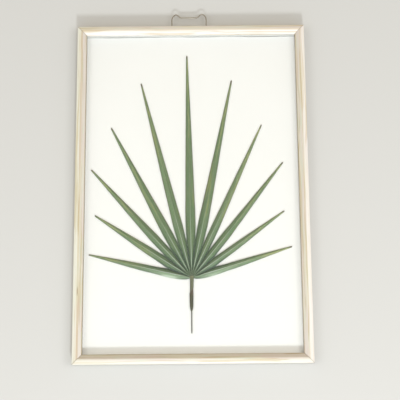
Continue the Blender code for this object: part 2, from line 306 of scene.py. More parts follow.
def make_pine(name, quarter_turn, seed, painted_light_colour, knot=None):
    made, tree, shader = new_material(name, Specular_IOR_Level=0.9)
    place = add(tree, "TexCoord").outputs["Object"]
    painted_shade = add(tree, "Attribute", attribute_name="painted_shade").outputs["Fac"]
    ridge = add(tree, "Attribute", attribute_name="ridge").outputs["Fac"]
    painted_light = add(tree, "Attribute", attribute_name="painted_light").outputs["Fac"]
    turned = add(tree, "Mapping", {"Vector": place, "Location": (seed, seed * 0.7, 0),
                                   "Rotation": (0, 0, quarter_turn)}).outputs[0]
    grain = use_group(tree, STREAKS, {"Vector": turned, "Along": 3.5, "Across": 230.0,
                                      "Wander": 0.008})
    tint = use_group(tree, STREAKS, {"Vector": turned, "Along": 6.0, "Across": 80.0,
                                     "Wander": 0.01})
    wash = use_group(tree, PATCHES, {"Vector": turned, "Scale": 14.0, "Edge": 0.2})
    pink = step_up(tree, tint["Broad"], 0.42, 0.58)
    base = colour_mix(tree, pink, CREAM_WOOD, PINK_WOOD)
    green = step_up(tree, tint["Fine"], 0.52, 0.66)
    base = colour_mix(tree, green, base, GREEN_WOOD)
    limed = maths(tree, 'MULTIPLY', wash["Mask"], 0.35)
    base = colour_mix(tree, limed, base, LIMED_WOOD)
    # Painted light: the facets marked on the mesh are mixed towards a paler colour.
    base = colour_mix(tree, painted_light, base, painted_light_colour)
    line = step_up(tree, grain["Broad"], 0.52, 0.64)
    base = colour_mix(tree, line, base, LINE_SHADE, way='MULTIPLY')
    fibre = maths(tree, 'MULTIPLY', step_up(tree, grain["Fine"], 0.48, 0.72), 0.6)
    base = colour_mix(tree, fibre, base, FIBRE_SHADE, way='MULTIPLY')
    if knot:
        spot = add(tree, "Mapping", {
            "Vector": place, "Location": (-knot[0] / KNOT_WIDE, -knot[1] / KNOT_LONG, 0),
            "Scale": (1 / KNOT_WIDE, 1 / KNOT_LONG, 0)}).outputs[0]
        from_knot = add(tree, "VectorMath", {0: spot}, operation='LENGTH').outputs["Value"]
        ring = step_up(tree, from_knot, 1.0, 0.35)
        base = colour_mix(tree, maths(tree, 'MULTIPLY', ring, 0.9), base, KNOT_BROWN)
    worn = maths(tree, 'MULTIPLY', ridge, maths(tree, 'ADD', 0.35, tint["Broad"]))
    base = colour_mix(tree, worn, base, WORN_SHADE, way='MULTIPLY')
    # Painted shade: the inner facets, the lip and the foot, as marked on the mesh, are darkened.
    base = colour_mix(tree, painted_shade, base, PAINTED_SHADE_TINT, way='MULTIPLY')
    joint = maths(tree, 'MULTIPLY', joint_line(tree, place), 0.6)
    colour = colour_mix(tree, joint, base, JOINT_DIRT, way='MULTIPLY')
    tree.links.new(colour, shader.inputs["Base Color"])
    rough = add(tree, "MapRange", {"Value": grain["Fine"], "To Min": 0.38, "To Max": 0.55})
    tree.links.new(rough.outputs[0], shader.inputs["Roughness"])
    height = maths(tree, 'ADD', grain["Fine"], maths(tree, 'MULTIPLY', grain["Broad"], 0.6))
    bump = add(tree, "Bump", {"Height": height, "Strength": 0.25, "Distance": 0.0003})
    tree.links.new(bump.outputs[0], shader.inputs["Normal"])
    return made


# Paler colours: painted light for the rail facets that catch the light.
ROSY_PAINTED_LIGHT = (0.80, 0.755, 0.725)
GREEN_PAINTED_LIGHT = (0.71, 0.715, 0.625)
PINE_ACROSS = make_pine("pine_across", 0.0, 0.31, ROSY_PAINTED_LIGHT)
PINE_LEFT = make_pine("pine_left", math.radians(90), 1.87, GREEN_PAINTED_LIGHT, knot=KNOT)
PINE_RIGHT = make_pine("pine_right", math.radians(90), 1.87, ROSY_PAINTED_LIGHT)

# %% [markdown]
# ## White card, white fillets and the back
# The card has the faint tooth of heavy paper, and an uneven dark line of painted shade where
# the top fillet stands on it. The fillets are brushed with matt white paint; the bottom one is
# painted lighter as painted light, and the left and right ones darker as painted shade, so one
# function makes all three paints. The board behind is pressed wood fibre, mottled and a
# little rough.
# %% Card, paint, board
FILLET_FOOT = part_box("spacer_top")[0].y


def make_card():
    made, tree, shader = new_material("card_paper", Specular_IOR_Level=0.2)
    place = add(tree, "TexCoord").outputs["Object"]
    cloud = use_group(tree, PATCHES, {"Vector": place, "Scale": 6.0, "Edge": 0.4})
    tooth = add(tree, "TexNoise", {"Vector": place, "Scale": 1500.0, "Detail": 3.0})
    base = colour_mix(tree, cloud["Mask"], (0.865, 0.868, 0.868), (0.885, 0.888, 0.888))
    height = add(tree, "SeparateXYZ", {0: place}).outputs["Y"]
    # Painted shade: an uneven dark line on the card just below the top fillet.
    uneven = add(tree, "TexNoise", {"Vector": place, "Scale": 11.0, "Detail": 2.0}).outputs["Fac"]
    foot = maths(tree, 'MULTIPLY_ADD', step_up(tree, uneven, 0.4, 0.65), -1.7 * MM)
    foot.node.inputs[2].default_value = FILLET_FOOT - 0.7 * MM
    painted_crease_shade = step_up(tree, height, foot, FILLET_FOOT - 0.2 * MM)
    colour = colour_mix(tree, maths(tree, 'MULTIPLY', painted_crease_shade, 0.9), base, (0.22, 0.21, 0.21))
    tree.links.new(colour, shader.inputs["Base Color"])
    rough = add(tree, "MapRange", {"Value": tooth.outputs["Fac"], "To Min": 0.75, "To Max": 0.95})
    tree.links.new(rough.outputs[0], shader.inputs["Roughness"])
    bump = add(tree, "Bump", {"Height": tooth.outputs["Fac"], "Strength": 0.15, "Distance": 0.0001})
    tree.links.new(bump.outputs[0], shader.inputs["Normal"])
    return made


def make_paint(name, dull, fresh):
    made, tree, shader = new_material(name, Specular_IOR_Level=0.3)
    place = add(tree, "TexCoord").outputs["Object"]
    brushed = use_group(tree, STREAKS, {"Vector": place, "Along": 30.0, "Across": 500.0})
    colour = colour_mix(tree, brushed["Broad"], dull, fresh)
    tree.links.new(colour, shader.inputs["Base Color"])
    rough = add(tree, "MapRange", {"Value": brushed["Fine"], "To Min": 0.5, "To Max": 0.75})
    tree.links.new(rough.outputs[0], shader.inputs["Roughness"])
    bump = add(tree, "Bump", {"Height": brushed["Fine"], "Strength": 0.2, "Distance": 0.0002})
    tree.links.new(bump.outputs[0], shader.inputs["Normal"])
    return made


def make_board():
    made, tree, shader = new_material("fibre_board", Specular_IOR_Level=0.3)
    place = add(tree, "TexCoord").outputs["Object"]
    fibres = add(tree, "TexNoise", {"Vector": place, "Scale": 420.0, "Detail": 6.0,
                                    "Distortion": 1.2})
    cloud = use_group(tree, PATCHES, {"Vector": place, "Scale": 18.0, "Edge": 0.3})
    dark = use_group(tree, FLECKS, {"Vector": place, "Scale": 260.0, "Share": 0.35, "Size": 0.35})
    base = colour_mix(tree, cloud["Mask"], (0.250, 0.155, 0.085), (0.310, 0.200, 0.115))
    pale = step_up(tree, fibres.outputs["Fac"], 0.45, 0.7)
    base = colour_mix(tree, pale, base, (0.400, 0.275, 0.170))
    base = colour_mix(tree, maths(tree, 'MULTIPLY', dark["Mask"], 0.6), base, (0.120, 0.070, 0.040))
    tree.links.new(base, shader.inputs["Base Color"])
    rough = add(tree, "MapRange", {"Value": fibres.outputs["Fac"], "To Min": 0.7, "To Max": 0.95})
    tree.links.new(rough.outputs[0], shader.inputs["Roughness"])
    bump = add(tree, "Bump", {"Height": fibres.outputs["Fac"], "Strength": 0.4, "Distance": 0.0003})
    tree.links.new(bump.outputs[0], shader.inputs["Normal"])
    return made


CARD_PAPER = make_card()
# The bottom fillet is painted lighter as painted light, the left and right ones darker as painted
# shade.
FILLET_PAINT = make_paint("fillet_paint", (0.63, 0.63, 0.60), (0.70, 0.70, 0.67))
FILLET_PAINTED_LIGHT = make_paint("fillet_paint_painted_light", (0.76, 0.76, 0.72), (0.82, 0.82, 0.78))
FILLET_PAINTED_SHADE = make_paint("fillet_paint_painted_shade", (0.30, 0.28, 0.24), (0.38, 0.36, 0.32))
FIBRE_BOARD = make_board()

# %% [markdown]
# ## Clear glass
# A flat pane: full transmission and the index of window glass. A ray that goes to a lamp, or
# that the card throws back, passes straight through, so that the pane neither blacks out
# nor lights twice what lies behind it.
# %% Glass
def make_glass():
    made, tree, shader = new_material("window_glass", Base_Color=(0.985, 0.995, 0.988, 1),
                                      Roughness=0.0, IOR=1.5, Transmission_Weight=1.0)
    clear = add(tree, "BsdfTransparent", {"Color": (0.955, 0.955, 0.95, 1)})
    path = add(tree, "LightPath")
    lit = add(tree, "MixShader", {0: path.outputs["Is Shadow Ray"], 1: shader.outputs[0],
                                  2: clear.outputs[0]})
    both = add(tree, "MixShader", {0: path.outputs["Is Diffuse Ray"], 1: lit.outputs[0],
                                   2: clear.outputs[0]})
    tree.links.new(both.outputs[0], tree.nodes["Material Output"].inputs["Surface"])
    return made


WINDOW_GLASS = make_glass()

# %% [markdown]
# ## Steel
# The hanger is drawn wire with a dull nickel skin, and the tabs are punched from thin
# sheet. Both show fine lines along the metal and small dull spots.
# %% Steel for the wire and the tabs
def make_steel(name, light, dull, along, across):
    made, tree, shader = new_material(name, Metallic=1.0)
    place = add(tree, "TexCoord").outputs["Object"]
    drawn = use_group(tree, STREAKS, {"Vector": place, "Along": along, "Across": across})
    spots = use_group(tree, PATCHES, {"Vector": place, "Scale": 160.0, "Edge": 0.15})
    colour = colour_mix(tree, maths(tree, 'MULTIPLY', spots["Mask"], 0.6), light, dull)
    tree.links.new(colour, shader.inputs["Base Color"])
    rough = add(tree, "MapRange", {"Value": drawn["Broad"], "To Min": 0.28, "To Max": 0.52})
    tree.links.new(rough.outputs[0], shader.inputs["Roughness"])
    bump = add(tree, "Bump", {"Height": drawn["Fine"], "Strength": 0.1, "Distance": 0.00005})
    tree.links.new(bump.outputs[0], shader.inputs["Normal"])
    return made


WIRE_STEEL = make_steel("nickel_wire", (0.38, 0.345, 0.29), (0.26, 0.23, 0.18), 400.0, 400.0)
TAB_STEEL = make_steel("tab_steel", (0.58, 0.58, 0.58), (0.40, 0.39, 0.37), 60.0, 900.0)

# %% [markdown]
# ## Dry palm leaf
# The blade's own map runs along each segment in metres, so veins keep their real spacing.
# Five values are stored on the mesh: the share of the segment's length, the place across
# it, a tone of its own for each segment, the distance from the hub in metres, and the pale
# flap that the lowest pair turn up, which also carries a painted highlight. Green dries to
# yellow in stripes, the tips are brown, and near the hub the ribs are pale between creases
# darkened by painted shade, and the hub itself is darkened by painted shade.
# %% Leaf blade
LEAF_VALUES = ("along", "across", "tone", "reach", "flap_and_highlight")


def make_leaf():
    made, tree, shader = new_material("dry_leaf", Specular_IOR_Level=0.4)
    blade = add(tree, "UVMap", uv_map="blade").outputs[0]
    along, across, tone, reach, flap_and_highlight = (
        add(tree, "Attribute", attribute_name=name).outputs["Fac"] for name in LEAF_VALUES)
    off_rib = maths(tree, 'ABSOLUTE', across)
    veins = use_group(tree, STREAKS, {"Vector": blade, "Along": 5.0, "Across": 420.0,
                                      "Wander": 0.001})
    stripe = use_group(tree, STREAKS, {"Vector": blade, "Along": 9.0, "Across": 130.0,
                                       "Wander": 0.003})
    cloud = use_group(tree, PATCHES, {"Vector": blade, "Scale": 22.0, "Edge": 0.25})

    def over(base, mask, strength, colour):
        return colour_mix(tree, maths(tree, 'MULTIPLY', mask, strength), base, colour)

    base = colour_mix(tree, tone, (0.080, 0.162, 0.064), (0.128, 0.213, 0.096))
    base = over(base, cloud["Mask"], 0.5, (0.150, 0.215, 0.085))
    yellow = maths(tree, 'MULTIPLY', step_up(tree, stripe["Broad"], 0.54, 0.64),
                   step_up(tree, reach, 0.03, 0.13))
    base = over(base, yellow, 0.65, (0.225, 0.265, 0.080))
    base = over(base, step_up(tree, stripe["Fine"], 0.52, 0.66), 0.5, (0.175, 0.215, 0.155))
    base = over(base, step_up(tree, veins["Broad"], 0.5, 0.62), 0.5, (0.055, 0.100, 0.040))
    base = over(base, flap_and_highlight, 0.8, (0.280, 0.370, 0.240))
    # Painted highlight: a pale glare where the flap bulges most.
    base = over(base, step_up(tree, flap_and_highlight, 0.75, 0.95), 0.45, (0.560, 0.640, 0.530))
    # Painted shade: the hub and the creases between the segments near it are darkened.
    near_hub = step_up(tree, reach, 0.130, 0.025)
    crease_shade = maths(tree, 'MULTIPLY', step_up(tree, off_rib, 0.38, 0.82), near_hub)
    bare = maths(tree, 'SUBTRACT', 1.0, flap_and_highlight, clamp=True)
    hub_shade = maths(tree, 'MULTIPLY', step_up(tree, reach, 0.075, 0.015), bare)
    base = over(base, hub_shade, 0.35, (0.040, 0.078, 0.046))
    base = over(base, maths(tree, 'MULTIPLY', crease_shade, bare), 0.95, (0.012, 0.044, 0.024))
    edge = maths(tree, 'MULTIPLY', step_up(tree, off_rib, 0.70, 0.95),
                 step_up(tree, reach, 0.07, 0.14))
    base = over(base, edge, 0.7, (0.100, 0.095, 0.060))
    from_rib = maths(tree, 'ABSOLUTE', add(tree, "SeparateXYZ", {0: blade}).outputs["Y"])
    ripe = maths(tree, 'MULTIPLY', step_up(tree, from_rib, 2.6 * MM, 1.0 * MM),
                 step_up(tree, along, 0.35, 0.8))
    ripe = maths(tree, 'MULTIPLY', ripe, step_up(tree, stripe["Fine"], 0.42, 0.6))
    base = over(base, ripe, 0.7, (0.290, 0.310, 0.105))
    rib = step_up(tree, from_rib, 0.7 * MM, 0.2 * MM)
    base = over(base, rib, 0.25, (0.300, 0.340, 0.240))
    rib_near_hub = maths(tree, 'MULTIPLY', step_up(tree, reach, 0.150, 0.030),
                         step_up(tree, reach, 0.010, 0.030))
    pale_rib = maths(tree, 'MULTIPLY', rib, rib_near_hub)
    base = over(base, pale_rib, 0.8, (0.500, 0.570, 0.520))
    ragged = maths(tree, 'ADD', along, maths(tree, 'MULTIPLY', stripe["Broad"], 0.05))
    colour = colour_mix(tree, step_up(tree, ragged, 0.995, 1.02), base, (0.095, 0.085, 0.050))
    tree.links.new(colour, shader.inputs["Base Color"])
    rough = add(tree, "MapRange", {"Value": veins["Fine"], "To Min": 0.42, "To Max": 0.66})
    tree.links.new(rough.outputs[0], shader.inputs["Roughness"])
    height = maths(tree, 'ADD', veins["Broad"], maths(tree, 'MULTIPLY', veins["Fine"], 0.3))
    bump = add(tree, "Bump", {"Height": height, "Strength": 0.5, "Distance": 0.0003})
    tree.links.new(bump.outputs[0], shader.inputs["Normal"])
    return made


DRY_LEAF = make_leaf()

# %% [markdown]
# ## Stalk, sheath and stem
# All three are dry plant tissue with fibres that run along Y. One function mixes a
# light and a dark tone in streaks, and adds flecks where the fibre is broken. Towards its
# upper end each piece fades to another colour, such as the reddish edge of the sheath.
# %% Dry stalk finishes
def make_fibre(name, light, dark, flaw, top, relief):
    """top is (colour, height in Y where it begins, height where it is full)."""
    made, tree, shader = new_material(name, Specular_IOR_Level=0.3)
    place = add(tree, "TexCoord").outputs["Object"]
    turned = add(tree, "Mapping", {"Vector": place,
                                   "Rotation": (0, 0, math.radians(90))}).outputs[0]
    fibre = use_group(tree, STREAKS, {"Vector": turned, "Along": 40.0, "Across": 700.0,
                                      "Wander": 0.002})
    cloud = use_group(tree, PATCHES, {"Vector": place, "Scale": 90.0, "Edge": 0.2})
    broken = use_group(tree, FLECKS, {"Vector": place, "Scale": 520.0, "Share": 0.25, "Size": 0.45})
    base = colour_mix(tree, step_up(tree, fibre["Broad"], 0.38, 0.62), dark, light)
    base = colour_mix(tree, maths(tree, 'MULTIPLY', cloud["Mask"], 0.3), base, dark)
    height = add(tree, "SeparateXYZ", {0: place}).outputs["Y"]
    upper = maths(tree, 'MULTIPLY', step_up(tree, height, top[1], top[2]), 0.8)
    base = colour_mix(tree, upper, base, top[0])
    colour = colour_mix(tree, maths(tree, 'MULTIPLY', broken["Mask"], 0.5), base, flaw)
    tree.links.new(colour, shader.inputs["Base Color"])
    rough = add(tree, "MapRange", {"Value": fibre["Fine"], "To Min": 0.55, "To Max": 0.85})
    tree.links.new(rough.outputs[0], shader.inputs["Roughness"])
    bump = add(tree, "Bump", {"Height": fibre["Broad"], "Strength": relief, "Distance": 0.0004})
    tree.links.new(bump.outputs[0], shader.inputs["Normal"])
    return made


PETIOLE_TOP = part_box("petiole")[1].y
SHEATH_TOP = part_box("sheath")[1].y
STALK_FIBRE = make_fibre(
    "stalk_fibre", light=(0.165, 0.180, 0.105), dark=(0.045, 0.055, 0.022),
    flaw=(0.040, 0.040, 0.020), relief=0.3,
    top=((0.190, 0.212, 0.118), PETIOLE_TOP - 10 * MM, PETIOLE_TOP))
SHEATH_FIBRE = make_fibre(
    "sheath_fibre", light=(0.060, 0.064, 0.025), dark=(0.022, 0.024, 0.009),
    flaw=(0.130, 0.095, 0.060), relief=0.8,
    top=((0.080, 0.046, 0.030), SHEATH_TOP - 16 * MM, SHEATH_TOP - 3 * MM))
STEM_FIBRE = make_fibre(
    "stem_fibre", light=(0.050, 0.052, 0.034), dark=(0.026, 0.026, 0.016),
    flaw=(0.018, 0.016, 0.010), relief=0.5,
    top=((0.050, 0.045, 0.028), SHEATH_TOP - 50 * MM, SHEATH_TOP))

# %% [markdown]
# ## Tools for modelling
# An operator works on whatever is selected, so every piece starts from an empty
# selection, and edges or faces are picked in code by where they lie. A finished piece
# keeps its object at the origin, with its place in its mesh.
# %% Helpers for modelling
def start_mesh(name, operator, **settings):
    """Run one 'add primitive' operator and return the new object."""
    bpy.ops.object.select_all(action='DESELECT')
    operator(**settings)
    made = bpy.context.object
    made.name = name
    made.data.name = name
    return made


def pick_edges(piece, wanted):
    """In edit mode, select only the edges whose two ends pass the test."""
    bpy.ops.mesh.select_mode(type='EDGE')
    bpy.ops.mesh.select_all(action='DESELECT')
    shape = bmesh.from_edit_mesh(piece.data)
    for edge in shape.edges:
        edge.select = wanted(edge.verts[0].co, edge.verts[1].co)
    bmesh.update_edit_mesh(piece.data)
    return sum(edge.select for edge in shape.edges)


def settle(piece):
    """Put the piece's place and turn into its mesh."""
    bpy.ops.object.select_all(action='DESELECT')
    piece.select_set(True)
    bpy.context.view_layer.objects.active = piece
    bpy.ops.object.transform_apply(location=True, rotation=True, scale=True)


def carve(piece, cutters):
    """Cut the shapes of the cutters out of the piece, and throw the cutters away."""
    for cutter in cutters:
        cut = piece.modifiers.new("cut", 'BOOLEAN')
        cut.operation = 'DIFFERENCE'
        cut.solver = 'EXACT'
        cut.object = cutter
        bpy.context.view_layer.objects.active = piece
        bpy.ops.object.modifier_apply(modifier=cut.name)
        bpy.data.objects.remove(cutter)


def hand_over(piece, finish, slot, *nodes):
    """Give the finished piece its material, hang it on the root body, and hide the imported pieces
    that it stands for.
    """
    piece.data.materials.clear()
    piece.data.materials.append(finish)
    bpy.ops.object.select_all(action='DESELECT')
    piece.select_set(True)
    bpy.context.view_layer.objects.active = piece
    bpy.ops.object.shade_smooth_by_angle(angle=math.radians(32))
    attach(piece, "root")
    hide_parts(*nodes)
    return piece


# %% [markdown]
# ## Rails
# Each rail is a length of moulding. As in a workshop, its cross-section is drawn first,
# pulled out to full length, its corners are rubbed down, and both ends are cut at
# forty-five degrees. All four are made lying along X with the outer face towards -Y,
# then turned into place. A rail's values say, from 0 to 1, how much shade is painted on the
# inner facet and on the lip, how worn the ridge is, and how much light is painted on the
# outside and the inside.
# %% Rails
OUTER_FACET = 8.5 * MM
INNER_FACET = 8.8 * MM
NIB_TOP = RIDGE_TOP - 4.7 * MM
LIP_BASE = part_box("glass_pane")[1].z + GAP
EDGE_TOP = RIDGE_TOP - 1.9 * MM
RABBET = WALL_INSIDE - GAP
SIGHT = OUTER_FACET + INNER_FACET
INNER_FALL = (RIDGE_TOP - NIB_TOP) / INNER_FACET
OUTER_FALL = (RIDGE_TOP - EDGE_TOP) / OUTER_FACET
WORN_HALF = 2.2 * MM
LIP_WIDE = 1.5 * MM
WORN_STARTS = OUTER_FACET - WORN_HALF
RIDGE_BAND_ENDS = OUTER_FACET + WORN_HALF
LIP_STARTS = SIGHT - LIP_WIDE
PROFILE = [(0, 0), (0, EDGE_TOP), (WORN_STARTS, RIDGE_TOP - WORN_HALF * OUTER_FALL),
           (OUTER_FACET, RIDGE_TOP), (RIDGE_BAND_ENDS, RIDGE_TOP - WORN_HALF * INNER_FALL),
           (LIP_STARTS, NIB_TOP + LIP_WIDE * INNER_FALL), (SIGHT, NIB_TOP),
           (SIGHT, LIP_BASE), (RABBET, LIP_BASE), (RABBET, 0)]
WORN = {(0, EDGE_TOP): 0.9 * MM, (OUTER_FACET, RIDGE_TOP): 1.3 * MM, (SIGHT, NIB_TOP): 0.45 * MM,
        (0, 0): 0.4 * MM}
# Painted shade along each rail's foot. Per rail: painted shade on the inner facet and on the lip,
# ridge wear, and painted light outside and inside.
FOOT_PAINTED_SHADE = 0.55
RAIL_WEAR_LIGHT_AND_SHADE = {"top": (0.0, 0.12, 0.9, 0.1, 0.8), "bottom": (0.42, 1.0, 0.2, 0.0, 0.0),
              "left": (0.12, 1.0, 1.0, 0.7, 0.0), "right": (0.15, 1.0, 0.4, 0.6, 0.0)}


def store_wear_light_and_shade(rail, depth, inner_shade_tone, lip_shade_tone, ridge_tone, outer_painted_light, inner_painted_light):
    """Keep on the mesh where shade is painted (inner facet, lip, foot), where light is painted, and
    how worn the ridge is.
    """
    for name in ("painted_shade", "ridge", "painted_light"):
        rail.data.attributes.new(name, 'FLOAT', 'POINT')
    for vertex in rail.data.vertices:
        inwards = vertex.co.y + depth / 2
        # Painted shade on the inner facet, the lip and the foot.
        if inwards > RIDGE_BAND_ENDS - 0.1 * MM:
            tone = lip_shade_tone if inwards > SIGHT - 0.6 * MM else inner_shade_tone
            rail.data.attributes["painted_shade"].data[vertex.index].value = tone
        elif inwards < 0.1 * MM and vertex.co.z < 1.0 * MM:
            rail.data.attributes["painted_shade"].data[vertex.index].value = FOOT_PAINTED_SHADE
        # Painted light on the outer or the inner facets.
        painted_light = outer_painted_light if inwards < WORN_STARTS + 0.1 * MM else inner_painted_light
        rail.data.attributes["painted_light"].data[vertex.index].value = painted_light
        if WORN_STARTS + 0.1 * MM < inwards < RIDGE_BAND_ENDS - 0.1 * MM:
            rail.data.attributes["ridge"].data[vertex.index].value = ridge_tone


def model_rail(name, length, depth, turn, tones):
    """One moulding; length runs along the rail, depth is the frame's size across it."""
    rail = start_mesh(name, bpy.ops.mesh.primitive_circle_add, vertices=len(PROFILE),
                      fill_type='NGON')
    for vertex, (inwards, height) in zip(rail.data.vertices, PROFILE):
        vertex.co = (-length / 2, -depth / 2 + inwards, height)
    bpy.ops.object.mode_set(mode='EDIT')
    bpy.ops.mesh.select_all(action='SELECT')
    bpy.ops.mesh.extrude_region_move(TRANSFORM_OT_translate={"value": (length, 0, 0)})
    for (inwards, height), size in WORN.items():
        corner = Vector((0, -depth / 2 + inwards, height))

        def along_corner(a, b):
            at_corner = all((Vector((0, p.y, p.z)) - corner).length < 0.05 * MM for p in (a, b))
            return at_corner and abs(a.x - b.x) > length / 2

        pick_edges(rail, along_corner)
        bpy.ops.mesh.bevel(offset=size, segments=3, affect='EDGES')
    for side in (-1, 1):
        bpy.ops.mesh.select_all(action='SELECT')
        bpy.ops.mesh.bisect(
            plane_co=(side * (length - GAP) / 2, -depth / 2, 0), plane_no=(side, 1, 0),
            use_fill=True, clear_outer=True)
    bpy.ops.mesh.select_all(action='SELECT')
    bpy.ops.mesh.normals_make_consistent(inside=False)
    bpy.ops.object.mode_set(mode='OBJECT')
    store_wear_light_and_shade(rail, depth, *tones)
    rail.rotation_euler.z = turn
    rail.location.y = CENTRE_Y
    settle(rail)
    return rail


# %% [markdown]
# The steel tabs sit in slots in the rabbet, and the hanger's legs in two drilled
# holes in the top rail's outer face. Boxes and a drill shape are cut out of the wood.
# %% Slots, holes and finished rails
WIRE_RADIUS = 1.0 * MM
LEG_INSET = WIRE_RADIUS + 0.1 * MM
DRILL_RADIUS = 1.3 * MM
DRILL_LONG = 26 * MM
DRILL_OUT = 1 * MM


def slot_cutters(side_nodes):
    cutters = []
    for node in side_nodes:
        low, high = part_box(node)
        middle = (low + high) / 2
        size = high - low + Vector((1, 1, 1)) * 2 * GAP
        cutters.append(start_mesh("cutter", bpy.ops.mesh.primitive_cube_add, size=1,
                                  location=middle, scale=tuple(size)))
    return cutters


def drill_cutters():
    face_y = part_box("rail_top")[1].y
    wire_low, wire_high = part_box("hanger_wire")
    cutters = []
    for x in (wire_low.x + LEG_INSET, wire_high.x - LEG_INSET):
        cutters.append(start_mesh(
            "drill", bpy.ops.mesh.primitive_cylinder_add, vertices=32, radius=DRILL_RADIUS,
            depth=DRILL_LONG, location=(x, face_y + DRILL_OUT, (wire_low.z + wire_high.z) / 2),
            rotation=(math.radians(90), 0, 0)))
    return cutters


def tabs_near(side):
    """The tabs whose outer end is in the rail on that side."""
    low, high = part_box("rail_" + side)
    found = []
    for number in range(1, 9):
        tab_low, tab_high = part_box(f"retainer_{number}")
        inside = all(tab_high[i] > low[i] and tab_low[i] < high[i] for i in range(3))
        if inside:
            found.append(f"retainer_{number}")
    return found


RAILS = {"bottom": (FRAME_WIDE, FRAME_TALL, 0), "top": (FRAME_WIDE, FRAME_TALL, 180),
         "left": (FRAME_TALL, FRAME_WIDE, -90), "right": (FRAME_TALL, FRAME_WIDE, 90)}
for side, (length, depth, degrees) in RAILS.items():
    rail = model_rail("wood_" + side, length, depth, math.radians(degrees), RAIL_WEAR_LIGHT_AND_SHADE[side])
    carve(rail, slot_cutters(tabs_near(side)))
    if side == "top":
        carve(rail, drill_cutters())
    finish = {"left": PINE_LEFT, "right": PINE_RIGHT}.get(side, PINE_ACROSS)
    hand_over(rail, finish, "pale_wood", "rail_" + side)
    print("rail", side, "faces", len(rail.data.polygons), "tabs", tabs_near(side))

# %% [markdown]
# ## Pane, card, board and fillets
# These are flat sheets and square strips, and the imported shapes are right. Each keeps
# its mesh and gets its finish.
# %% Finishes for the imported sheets
KEPT = {"glass_pane": WINDOW_GLASS, "mount_card": CARD_PAPER, "backing_board": FIBRE_BOARD,
        "spacer_top": FILLET_PAINT, "spacer_bottom": FILLET_PAINTED_LIGHT, "spacer_left": FILLET_PAINTED_SHADE,
        "spacer_right": FILLET_PAINTED_SHADE}
for node, finish in KEPT.items():
    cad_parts[node].data.materials.clear()
    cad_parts[node].data.materials.append(finish)

# %% [markdown]
# ## Steel tabs
# Framer's tabs are punched from thin strip with a round nose, and lie flat on the back
# board. One is modelled from a plate whose two free corners are rounded, for each place.
# %% Tabs
NOSE_RADIUS = 5 * MM
BURR = 0.08 * MM


def model_tab(number):
    low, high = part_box(f"retainer_{number}")
    middle = (low + high) / 2
    tab = start_mesh(f"tab_{number}", bpy.ops.mesh.primitive_cube_add, size=1, location=middle,
                     scale=tuple(high - low))
    settle(tab)
    inwards = Vector((0, CENTRE_Y, 0)) - middle
    lengthwise = 0 if high.x - low.x > high.y - low.y else 1
    free_end = (high if inwards[lengthwise] > 0 else low)[lengthwise]
    bpy.ops.object.mode_set(mode='EDIT')

    def nose(a, b):
        upright = abs(a.z - b.z) > 0.1 * MM
        return upright and abs(a[lengthwise] - free_end) < 0.1 * MM

    pick_edges(tab, nose)
    bpy.ops.mesh.bevel(offset=NOSE_RADIUS, segments=8, affect='EDGES')
    bpy.ops.object.mode_set(mode='OBJECT')
    soften = tab.modifiers.new("soften", 'BEVEL')
    soften.width = BURR
    soften.segments = 2
    bpy.ops.object.modifier_apply(modifier=soften.name)
    return tab


for number in range(1, 9):
    hand_over(model_tab(number), TAB_STEEL, "wire_steel", f"retainer_{number}")

# %% [markdown]
# ## Wire hanger
# One stiff wire, bent in a jig: up from a drilled hole, round a small lobe, along the
# straight middle that hangs on the nail, and back the same way. It is a curve with
# thickness, which becomes a mesh at the end.
# %% Hanger
HANGER_X = (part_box("hanger_wire")[0].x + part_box("hanger_wire")[1].x) / 2
HANGER_Z = (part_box("hanger_wire")[0].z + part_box("hanger_wire")[1].z) / 2
FACE_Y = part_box("rail_top")[1].y
ROUTE_MM = [
    (-32.1, -10), (-32.1, 0), (-32.1, 8), (-32.1, 15.9), (-30.9, 20.4), (-28.1, 24.2),
    (-24.7, 26.4), (-21.3, 25), (-17.6, 21.8), (-15, 20.4), (-11, 20.2), (0, 20.2),
    (11, 20.2), (15, 20.4), (18.5, 23), (21.5, 25.6), (24.8, 26.4), (28, 25),
    (30.9, 21.2), (32.1, 15.9), (32.1, 8), (32.1, 0), (32.1, -10),
]


def smooth_route(points, steps):
    """A Catmull-Rom curve through the points, with steps pieces between each two."""
    out = []
    for i in range(len(points) - 1):
        before = points[max(i - 1, 0)]
        start = points[i]
        end = points[i + 1]
        after = points[min(i + 2, len(points) - 1)]
        for step in range(steps):
            t = step / steps
            out.append((2 * start + (end - before) * t
                        + (2 * before - 5 * start + 4 * end - after) * t ** 2
                        + (3 * start - before - 3 * end + after) * t ** 3) * 0.5)
    out.append(points[-1])
    return out


def model_wire():
    route = [Vector((HANGER_X + x * MM, FACE_Y + y * MM, HANGER_Z)) for x, y in ROUTE_MM]
    places = smooth_route(route, 8)
    line = bpy.data.curves.new("hanger", 'CURVE')
    line.dimensions = '3D'
    line.bevel_depth = WIRE_RADIUS
    line.bevel_resolution = 6
    line.use_fill_caps = True
    spline = line.splines.new('POLY')
    spline.points.add(len(places) - 1)
    for spot, place in zip(spline.points, places):
        spot.co = (*place, 1)
    wire = bpy.data.objects.new("hanger", line)
    bpy.context.scene.collection.objects.link(wire)
    bpy.ops.object.select_all(action='DESELECT')
    wire.select_set(True)
    bpy.context.view_layer.objects.active = wire
    bpy.ops.object.convert(target='MESH')
    return bpy.context.object


hanger = hand_over(model_wire(), WIRE_STEEL, "wire_steel", "hanger_wire")
print("hanger faces", len(hanger.data.polygons))

